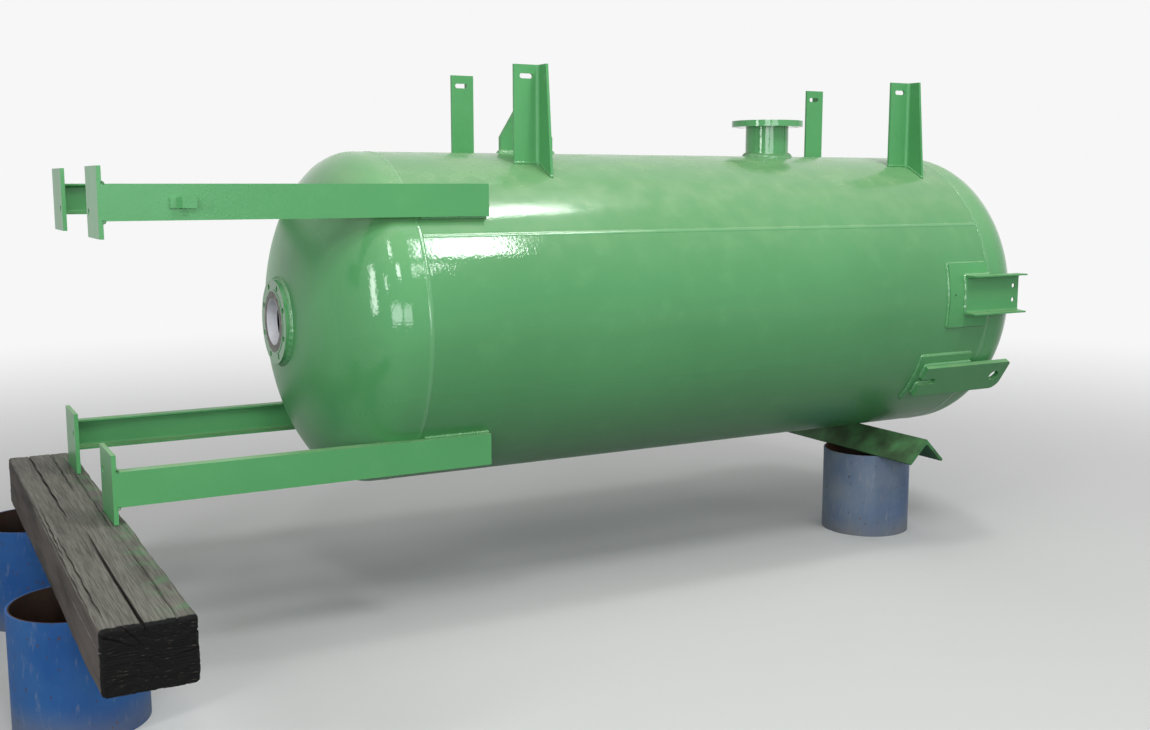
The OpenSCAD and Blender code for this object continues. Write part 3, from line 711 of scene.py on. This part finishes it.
def cap_profile(length, half, seed):
    """Hill of height h * (1 - v^2)^0.7 * (1 + 0.2 * wave), where v runs across from -1 to 1 and the wave
    is a sine of (distance + bow * v^2) / pitch. The last two columns close it underneath."""
    rows = int(round(length / CAP_PITCH)) * CAP_STEPS
    along = np.linspace(0.0, length, rows, endpoint=False)[:, None]
    v = np.linspace(-1.0, 1.0, CAP_COLUMNS)[None, :]
    wander = unsteady(along, length, (3, 7, 13, 29), seed)
    wave = np.sin(2 * pi * (along + 1.1 * CAP_PITCH * v**2) / CAP_PITCH)
    hill = CAP_HEIGHT * (1.0 - v**2) ** 0.7 * (1.0 + 0.2 * wave + wander)
    a = np.broadcast_to(half * v * (1.0 + 0.5 * wander), hill.shape)
    under = np.full((rows, 1), -CAP_ROOT)
    return np.hstack([a, a[:, -1:], a[:, :1]]), np.hstack([hill - CAP_EDGE, under, under])


def turned(angle):
    """Outward direction at an angle above the near side's middle, and the same for whole arrays."""
    angle = np.asarray(angle)
    return np.stack([np.zeros_like(angle), -np.cos(angle), np.sin(angle)], -1)


AXIS = np.array([0.0, AXIS_Y, AXIS_Z])
ALONG, UPRIGHT = np.array([1.0, 0.0, 0.0]), np.array([0.0, 0.0, 1.0])

for name, seat, seed in (("left_girth_weld", LEFT, 3), ("right_girth_weld", RIGHT, 4)):
    a, b = cap_profile(2 * pi * RADIUS, 0.0075, seed)
    out = turned(np.linspace(0.0, 2 * pi, len(a), endpoint=False))
    path = AXIS + seat * ALONG + RADIUS * out
    bead = sweep(name + "_bead", path, np.tile(ALONG, (len(a), 1)), out, a, b, True)
    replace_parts(bead, name)

# Angle of the long seam above the near side's middle, and how far it stops short of each girth
SEAM, SEAM_STOP = radians(31.6), 0.008
a, b = cap_profile(RIGHT - LEFT - 2 * SEAM_STOP, 0.0073, 5)
along = np.linspace(LEFT + SEAM_STOP, RIGHT - SEAM_STOP, len(a))[:, None]
path = AXIS + along * ALONG + RADIUS * turned(SEAM)
around = np.array([0.0, sin(SEAM), cos(SEAM)])
side, up = (np.tile(way, (len(a), 1)) for way in (around, turned(SEAM)))
bead = sweep("seam_bead", path, side, up, a, b, False)
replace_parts(bead, "seam_weld")

# %% [markdown]
# ## Fillet welds
#
# Where one plate stands on another, a welder fills the corner. A fillet's section is a triangle with a
# slightly full face, and hand welding leaves closer and taller ripples than a machine does. Most of
# these welds lie on the shell, so their paths are drawn on a flat sheet, as distance along the tank and
# distance round it, and then rolled onto the cylinder.

# %% Shape a fillet
# Distance between ripples on a weld round plates, on a straight one and on one round a pipe
HAND_PITCH, STRAIGHT_PITCH, RING_PITCH = 0.008, 0.0045, 0.0052
FILLET_STEPS, FILLET_COLUMNS, FILLET_ROOT, FULLNESS = 4, 7, 0.0015, 1.25
# Distance between points along a walked line, and how far a corner is rounded
STRIDE, ROUND_OFF = 0.004, 0.008


def fillet_profile(length, leg, pitch, seed):
    """Quarter turn from the host plate to the standing plate: a = leg * cos^p(t), b = leg * sin^p(t) with
    p the fullness, swollen by a ripple. Three more columns close it inside the metal."""
    rows = max(int(round(length / pitch)) * FILLET_STEPS, 8)
    along = np.linspace(0.0, length, rows)[:, None]
    t = np.linspace(0.0, pi / 2, FILLET_COLUMNS)[None, :]
    wander = unsteady(along, length, (2, 5, 11, 23, 41), seed)
    wave = np.sin(2 * pi * (along + 0.8 * pitch * np.cos(2 * t)) / pitch)
    size = leg * (1.0 + 0.12 * wave * np.sin(2 * t) + wander)
    a = size * np.cos(t) ** FULLNESS
    b = size * np.sin(t) ** FULLNESS
    sunk = np.full((rows, 1), -FILLET_ROOT)
    return np.hstack([a, sunk, sunk, a[:, :1]]), np.hstack([b, b[:, -1:], sunk, sunk])


def walk(corners, closed):
    """Even points along straight runs between corners, with a short quarter curve at each corner. Also
    gives the outward direction, which lies to the right of the way walked, and the distance walked."""
    corners = np.array(corners, float)
    count = len(corners)
    pieces = []
    for k in range(count):
        here = corners[k]
        if not closed and k in (0, count - 1):
            pieces.append(here[None, :])
            continue
        into, away = corners[k - 1] - here, corners[(k + 1) % count] - here
        before, after = np.linalg.norm(into), np.linalg.norm(away)
        into, away = into / before, away / after
        cut = min(ROUND_OFF, 0.45 * before, 0.45 * after)
        t = np.linspace(0.0, 1.0, 6)[:, None]
        pieces.append(here + cut * ((1 - t) ** 2 * into + t**2 * away))
    line = np.vstack(pieces)
    if closed:
        line = np.vstack([line, line[:1]])
    walked = np.concatenate([[0.0], np.cumsum(np.linalg.norm(np.diff(line, axis=0), axis=1))])
    even = np.linspace(0.0, walked[-1], max(int(walked[-1] / STRIDE), 12) + 1)
    points = np.stack([np.interp(even, walked, line[:, k]) for k in range(2)], -1)
    way = np.gradient(points, axis=0)
    if closed:
        way[0] = way[-1] = points[1] - points[-2]
    way /= np.linalg.norm(way, axis=1)[:, None]
    return points, np.stack([way[:, 1], -way[:, 0]], -1), walked[-1]


def fillet(name, corners, leg, seed, middle, closed=True, radius=RADIUS, lift=None, flip=1.0):
    """Fillet along corners given as (metres along the tank, metres round it from the angle middle). It
    rises along lift, or else straight out from the axis, and a flip of -1 lays it on the other side."""
    points, outward, length = walk(corners, closed)
    a, b = fillet_profile(length, leg, HAND_PITCH, seed)
    even = np.linspace(0.0, length, len(a))
    old = np.linspace(0.0, length, len(points))
    x, s, out_x, out_s = (np.interp(even, old, column) for column in (*points.T, *(flip * outward).T))
    angle = middle + s / radius
    out = turned(angle)
    round_way = np.stack([np.zeros_like(angle), np.sin(angle), np.cos(angle)], -1)
    path = AXIS + x[:, None] * ALONG + radius * out
    side = out_x[:, None] * ALONG + out_s[:, None] * round_way
    up = out if lift is None else np.tile(np.array(lift, float), (len(a), 1))
    if closed:
        path, side, up, a, b = path[:-1], side[:-1], up[:-1], a[:-1], b[:-1]
    return sweep(name, path, side, up, a, b, closed)


print("fillets can follow any line on the shell")

# %% [markdown]
# ## Welds round the pads and stubs
#
# Each backing pad is welded all round its edge. The channel stub is welded to its pad along both edges
# and the end of its web. The lifting lug is welded along its sides and inside the slot at its root, which
# gives the weld more length to carry a lift.

# %% Weld the pads, stubs and lugs
# Thickness of a pad, half the angle that each pad spans, and the lug's angle below the near side's middle
PAD = 0.010
STUB_PAD_SPAN, LUG_PAD_SPAN, LUG_TILT = radians(12.6), radians(11.0), radians(33.0)
LUG_HALF, SLOT_HALF, SLOT_REACH = 0.07, 0.014, 0.068


def rectangle(x1, x2, low, high):
    return [(x1, low), (x2, low), (x2, high), (x1, high)]


for name, sense in (("near", 1.0), ("far", -1.0)):
    pad_low, pad_high = box(name + "_stub_pad")
    stub_low, stub_high = box(name + "_channel_stub")
    tilt = asin(float((stub_low[2] + stub_high[2]) / 2 - AXIS_Z) / RADIUS)
    middle = tilt if sense > 0 else pi - tilt
    half = RADIUS * STUB_PAD_SPAN
    edge = rectangle(pad_low[0], pad_high[0], -half, half)
    fillet(name + "_stub_pad_bead", edge, 0.006, 11, middle)
    half = (stub_high[2] - stub_low[2]) / 2
    x1, x2 = stub_low[0], pad_high[0]
    outline = [(x2, -half), (x1, -half), (x1, half), (x2, half)]
    lift = (0.0, -sense, 0.0)
    fillet(name + "_stub_bead", outline, 0.007, 12, middle, False, RADIUS + PAD, lift, -1.0)

for name, middle in (("front", -LUG_TILT), ("rear", pi - LUG_TILT)):
    pad_low, pad_high = box(name + "_lug_pad")
    lug_low, _ = box(name + "_lifting_lug")
    half = RADIUS * LUG_PAD_SPAN
    edge = rectangle(pad_low[0], pad_high[0], -half, half)
    fillet(name + "_lug_pad_bead", edge, 0.006, 13, middle)
    x1, x2 = lug_low[0], pad_high[0]
    slot_end = x1 + SLOT_REACH
    slot = [(x1, -SLOT_HALF), (slot_end, -SLOT_HALF), (slot_end, SLOT_HALF), (x1, SLOT_HALF)]
    outline = [(x2, -LUG_HALF), (x1, -LUG_HALF), *slot, (x1, LUG_HALF), (x2, LUG_HALF)]
    fillet(name + "_lug_bead", outline, 0.0075, 14, middle, False, RADIUS + PAD, flip=-1.0)

# %% [markdown]
# ## Welds at the bracket feet, the crown lug and the legs
#
# The ladder brackets stand upright on the curved shell, so their weld climbs straight up the plate
# while it leans along the shell. The footprint is drawn in plan and its width is turned into distance
# round the shell by an arc sine.

# %% Weld the brackets and the lug on the crown
CROWN = pi / 2
# Thickness of the brackets' angle section
SHEET = 0.0095


def round_from_crown(across):
    """Distance round the shell from its crown at a distance towards the near side: R * arcsin(d / R)."""
    return RADIUS * asin(across / RADIUS)


for name in ("near_left", "far_left", "near_right", "far_right"):
    low, high = box(name + "_bracket")
    near = name.startswith("near")
    face, inward = (high[1], -1.0) if near else (low[1], 1.0)
    tip = face + (high[1] - low[1]) * inward
    plan = [(low[0], face), (high[0], face), (high[0], tip), (high[0] - SHEET, tip)]
    plan += [(high[0] - SHEET, face + inward * SHEET), (low[0], face + inward * SHEET)]
    corners = [(x, -round_from_crown(AXIS_Y - y)) for x, y in plan]
    fillet(name + "_bracket_bead", corners, 0.009, 21, CROWN, lift=UPRIGHT, flip=1.0 if near else -1.0)

low, high = box("tailing_lug")
corners = rectangle(low[0], high[0], low[1] - AXIS_Y, high[1] - AXIS_Y)
fillet("tailing_lug_bead", corners, 0.012, 22, CROWN, lift=UPRIGHT)

# %% [markdown]
# Other fillets are straight, or run round a pipe. Each leg rests on the shell along one flange, welded
# above and below it, and its foot plate is welded to the end of the channel.

# %% Weld the legs and their feet
# Thickness of a leg's flange and web, and how far the welds stop short of the girth and the corners
FLANGE, WEB = 0.006, 0.006
LEG_STOP, WEB_STOP = 0.013, 0.008


def straight_fillet(name, start, end, side, up, leg, seed):
    """Fillet from start to end, where side lies along one plate and up along the other."""
    start, end = np.array(start, float), np.array(end, float)
    length = float(np.linalg.norm(end - start))
    a, b = fillet_profile(length, leg, STRAIGHT_PITCH, seed)
    path = start + np.linspace(0.0, 1.0, len(a))[:, None] * (end - start)
    side, up = (np.tile(np.array(way, float), (len(a), 1)) for way in (side, up))
    return sweep(name, path, side, up, a, b, False)


leg_beads = []
for leg, sy, sz in (
    ("near_upper", -1.0, 1.0),
    ("near_lower", -1.0, -1.0),
    ("far_upper", 1.0, 1.0),
    ("far_lower", 1.0, -1.0),
):
    low, high = box(leg + "_leg")
    inner = min(abs(low[2] - AXIS_Z), abs(high[2] - AXIS_Z))
    for part, away, z in (("under", -1.0, inner), ("over", 1.0, inner + FLANGE)):
        y = sqrt(RADIUS**2 - z**2)
        along_shell = (0.0, -away * sy * z / RADIUS, away * sz * y / RADIUS)
        start = (LEFT + LEG_STOP, AXIS_Y + sy * y, AXIS_Z + sz * z)
        end = (high[0], start[1], start[2])
        bead = straight_fillet(f"{leg}_leg_bead_{part}", start, end, along_shell, (0, sy, 0), 0.010, 31)
        leg_beads.append(bead)
    web, tip = (low[1], high[1]) if sy < 0 else (high[1], low[1])
    for part, z, away in (("high", high[2], 1.0), ("low", low[2], -1.0)):
        ends = ((low[0], web, z), (low[0], tip, z))
        straight_fillet(f"{leg}_foot_bead_{part}", *ends, (0, 0, away), ALONG, 0.008, 32)
    back = web - sy * WEB
    ends = ((low[0], back, low[2] + WEB_STOP), (low[0], back, high[2] - WEB_STOP))
    straight_fillet(f"{leg}_foot_bead_web", *ends, (0, -sy, 0), ALONG, 0.008, 33)
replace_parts(leg_beads[0], "leg_welds")

# %% [markdown]
# The end nozzles are pads let into the heads. Their ring weld sits on a sloping surface, so the
# profile's first direction leans by the slope of the ellipsoid there. The top nozzle's pipe meets the
# shell in a saddle curve: its height over the axis is the root of R^2 - y^2.

# %% Weld the nozzles
rim_low, rim_high = box("left_nozzle_flange")
rim = float(rim_high[2] - rim_low[2]) / 2
fall = HEAD_DEPTH * rim / (RADIUS**2 * sqrt(1 - (rim / RADIUS) ** 2))
lean = atan2(fall, 1.0)
for name, seat, outward in (("left", LEFT, -1.0), ("right", RIGHT, 1.0)):
    a, b = fillet_profile(2 * pi * rim, 0.0095, RING_PITCH, 41)
    ring = turned(np.linspace(0.0, 2 * pi, len(a), endpoint=False))
    rise = HEAD_STRAIGHT + HEAD_DEPTH * sqrt(1 - (rim / RADIUS) ** 2)
    path = AXIS + (seat + outward * rise) * ALONG + rim * ring
    side = ring * cos(lean) - outward * sin(lean) * ALONG
    up = np.tile(outward * ALONG, (len(a), 1))
    bead = sweep(name + "_nozzle_bead", path, side, up, a, b, True)
    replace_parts(bead, name + "_nozzle_weld")

pipe_low, pipe_high = box("top_nozzle_neck")
pipe = (pipe_high[0] - pipe_low[0]) / 2
a, b = fillet_profile(2 * pi * pipe, 0.014, RING_PITCH, 42)
t = np.linspace(0.0, 2 * pi, len(a), endpoint=False)
ring = np.stack([np.cos(t), np.sin(t), np.zeros_like(t)], -1)
saddle = np.sqrt(RADIUS**2 - (pipe * ring[:, 1]) ** 2)
path = AXIS + (pipe_low[0] + pipe) * ALONG + pipe * ring + saddle[:, None] * UPRIGHT
normal = np.stack([np.zeros_like(t), pipe * ring[:, 1], saddle], -1) / RADIUS
side = ring - np.einsum("ij,ij->i", ring, normal)[:, None] * normal
side /= np.linalg.norm(side, axis=1)[:, None]
up = np.tile(UPRIGHT, (len(a), 1))
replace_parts(sweep("top_nozzle_bead", path, side, up, a, b, True), "top_nozzle_weld")

# %% [markdown]
# ## The sleeper
#
# A new beam is a box, but this one has worn edges, open drying cracks and a rough sawn end. One surface
# makes all of it: rings that grow from the middle of one sawn end, run along the beam and shrink to
# the middle of the other. Each ring is a rectangle whose corner radius wanders, and every flaw pushes
# points inwards only, so the beam stays inside its CAD box.

# %% Set out the sleeper's grid
def smooth_noise(random, shape, cells):
    """Random values on a coarse grid of cells, read between its knots with a cosine blend, on a finer
    grid of that shape. The second direction closes on itself."""
    rows, columns = shape
    knots = random.uniform(-1.0, 1.0, (cells[0] + 1, cells[1]))
    knots = np.hstack([knots, knots[:, :1]])
    u = np.linspace(0.0, cells[0], rows) * (1 - 1e-9)
    v = np.linspace(0.0, cells[1], columns, endpoint=False)
    iu, iv = u.astype(int), v.astype(int)
    fu, fv = ((1 - np.cos(pi * (w - i))) / 2 for w, i in ((u, iu), (v, iv)))
    top = knots[iu][:, iv] * (1 - fv) + knots[iu][:, iv + 1] * fv
    below = knots[iu + 1][:, iv] * (1 - fv) + knots[iu + 1][:, iv + 1] * fv
    return top * (1 - fu[:, None]) + below * fu[:, None]


random = np.random.default_rng(7)
width, length, depth = wood_high - wood_low
# Rings on each sawn end, rings along the beam, and points round a ring
RINGS, RUN, ROUND = 34, 178, 400
GRID = (RUN + 2 * RINGS, ROUND)
# How far each ring has grown, and its place along the beam and each point's round it, as shares
grow = np.concatenate([np.linspace(0.02, 0.985, RINGS), np.ones(RUN), np.linspace(0.985, 0.02, RINGS)])
along = np.concatenate([np.zeros(RINGS), np.linspace(0.0, 1.0, RUN), np.ones(RINGS)])
s = np.linspace(0.0, 1.0, ROUND, endpoint=False)
print("the sleeper has", GRID[0], "rings of", ROUND, "points")

# %% [markdown]
# The section is a sharp rectangle first. Each corner then gets a radius r that two noises move: a point
# that lies further than r from the corner's centre is pulled back onto the circle of that radius.

# %% Wear the long edges
perimeter = 2 * (width + depth)
walked = s * perimeter
corner_x = np.array([0.0, width, width, 0.0, 0.0])
corner_z = np.array([0.0, 0.0, depth, depth, 0.0])
stations = np.array([0.0, width, width + depth, 2 * width + depth, perimeter])
edge_x = np.interp(walked, stations, corner_x) - width / 2
edge_z = np.interp(walked, stations, corner_z) - depth / 2
long_wear, short_wear = (smooth_noise(random, GRID, cells) for cells in ((14, 8), (60, 16)))
worn = 0.010 + 0.005 * long_wear + 0.002 * short_wear
near_edge_x = np.maximum(np.abs(edge_x)[None, :] - (width / 2 - worn), 0.0)
near_edge_z = np.maximum(np.abs(edge_z)[None, :] - (depth / 2 - worn), 0.0)
near_edge = np.hypot(near_edge_x, near_edge_z)
excess = np.maximum(near_edge - worn, 0.0)
lean_x, lean_z = (part / np.maximum(near_edge, 1e-9) for part in (near_edge_x, near_edge_z))
x = edge_x[None, :] - np.sign(edge_x)[None, :] * excess * lean_x
z = edge_z[None, :] - np.sign(edge_z)[None, :] * excess * lean_z
print("edges worn to between", round(float(worn.min()), 4), "and", round(float(worn.max()), 4), "m")

# %% [markdown]
# Timber cracks along its grain as it dries. A crack is a line that runs along the beam with a slow bend.
# Its depth at a point is d * exp(-(off / w)^2), where off is the distance round the beam from the line,
# and it opens and closes along the line as a sine. The widest crack, called a check, starts at the sawn
# end on the near side, a little off the middle of the top.

# %% Open the drying cracks
CRACK_DEPTH, CRACK_HALF = 0.011, 0.0022
CHECK_DEPTH, CHECK_HALF, CHECK_REACH = 0.016, 0.0028, 0.45

fine_grain, broad_grain = (smooth_noise(random, GRID, cells) for cells in ((40, 150), (12, 36)))
grain = 0.0008 * (1 + fine_grain) + 0.0012 * (1 + broad_grain)
cracks = np.zeros(GRID)
for k in range(17):
    place, bend = random.uniform(0.0, 1.0), random.uniform(-0.012, 0.012)
    start, reach = random.uniform(-0.1, 0.85), random.uniform(0.18, 0.6)
    gone = np.clip((along - start) / reach, 0.0, 1.0)
    opening = np.sin(pi * gone) ** 0.6
    line = place + bend * gone + 0.0016 * np.sin(37 * gone + k)
    off = np.abs((s[None, :] - line[:, None] + 0.5) % 1.0 - 0.5) * perimeter
    cracks += CRACK_DEPTH * opening[:, None] * np.exp(-((off / CRACK_HALF) ** 2))
top_check = (width + depth + 0.56 * width) / perimeter + 0.002 * np.sin(9.0 * along)
off = np.abs(s[None, :] - top_check[:, None]) * perimeter
opening = np.sqrt(np.clip(1.0 - along / CHECK_REACH, 0.0, 1.0))
cracks += CHECK_DEPTH * opening[:, None] * np.exp(-((off / CHECK_HALF) ** 2))
inset = np.minimum(grain + cracks, 0.018)
inset[:RINGS] *= grow[:RINGS, None] ** 3
inset[-RINGS:] *= grow[-RINGS:, None] ** 3
print("deepest crack", round(float(inset.max()), 4), "m")

# %% [markdown]
# A sawn end is one more map of depths. Splits run out from its middle as narrow as the cracks, the saw
# left fine steps across it, which are a sine of the height, and torn fibres make it bumpy. Its rim is
# rubbed back, so that no sharp edge is left.

# %% Roughen the sawn ends and lay the mesh
SPLIT_DEPTH, SPLIT_HALF, RIM = 0.006, 0.0016, 0.006
size = np.maximum(np.hypot(x, z), 1e-6)
grown = grow[:, None]
shrink = grown * (1.0 - inset / np.maximum(np.maximum(np.abs(x), np.abs(z)), 0.03))
sawn = np.zeros(GRID)
for k in range(3):
    angle, spread = random.uniform(0, 2 * pi), random.uniform(0.012, 0.03)
    bearing = np.angle(np.exp(1j * (np.arctan2(z, x) - angle - 0.25 * grown)))
    off = np.abs(bearing) * size * grown
    opening = np.clip(grown * 1.6 - spread * 20, 0.0, 1.0)
    sawn += SPLIT_DEPTH * np.exp(-((off / SPLIT_HALF) ** 2)) * opening
end_x, end_z = x * grown, z * grown
sawn += 0.0005 * (1 + np.sin(900.0 * end_z + 6.0 * end_x))
across_torn = np.sin(47.0 * end_x + 2.2 * np.sin(73.0 * end_z))
sawn += 0.0012 * (1 + np.sin(120.0 * end_z + 4.0 * np.sin(31.0 * end_x)) * across_torn)
sawn += RIM * np.clip((grown - 0.9) / 0.085, 0.0, 1.0) ** 3
on_end = grown < 1.0
y = along[:, None] * length + np.where(on_end, np.where(along[:, None] < 0.5, sawn, -sawn), 0.0)
y[RINGS], y[RINGS + RUN - 1] = 0.010, length - 0.010
middle = (wood_low + wood_high) / 2
points = np.stack([middle[0] + x * shrink, wood_low[1] + y, middle[2] + z * shrink], -1)
sleeper = lay_mesh("worn_sleeper", points, False, tarred_timber)
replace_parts(sleeper, "sleeper")
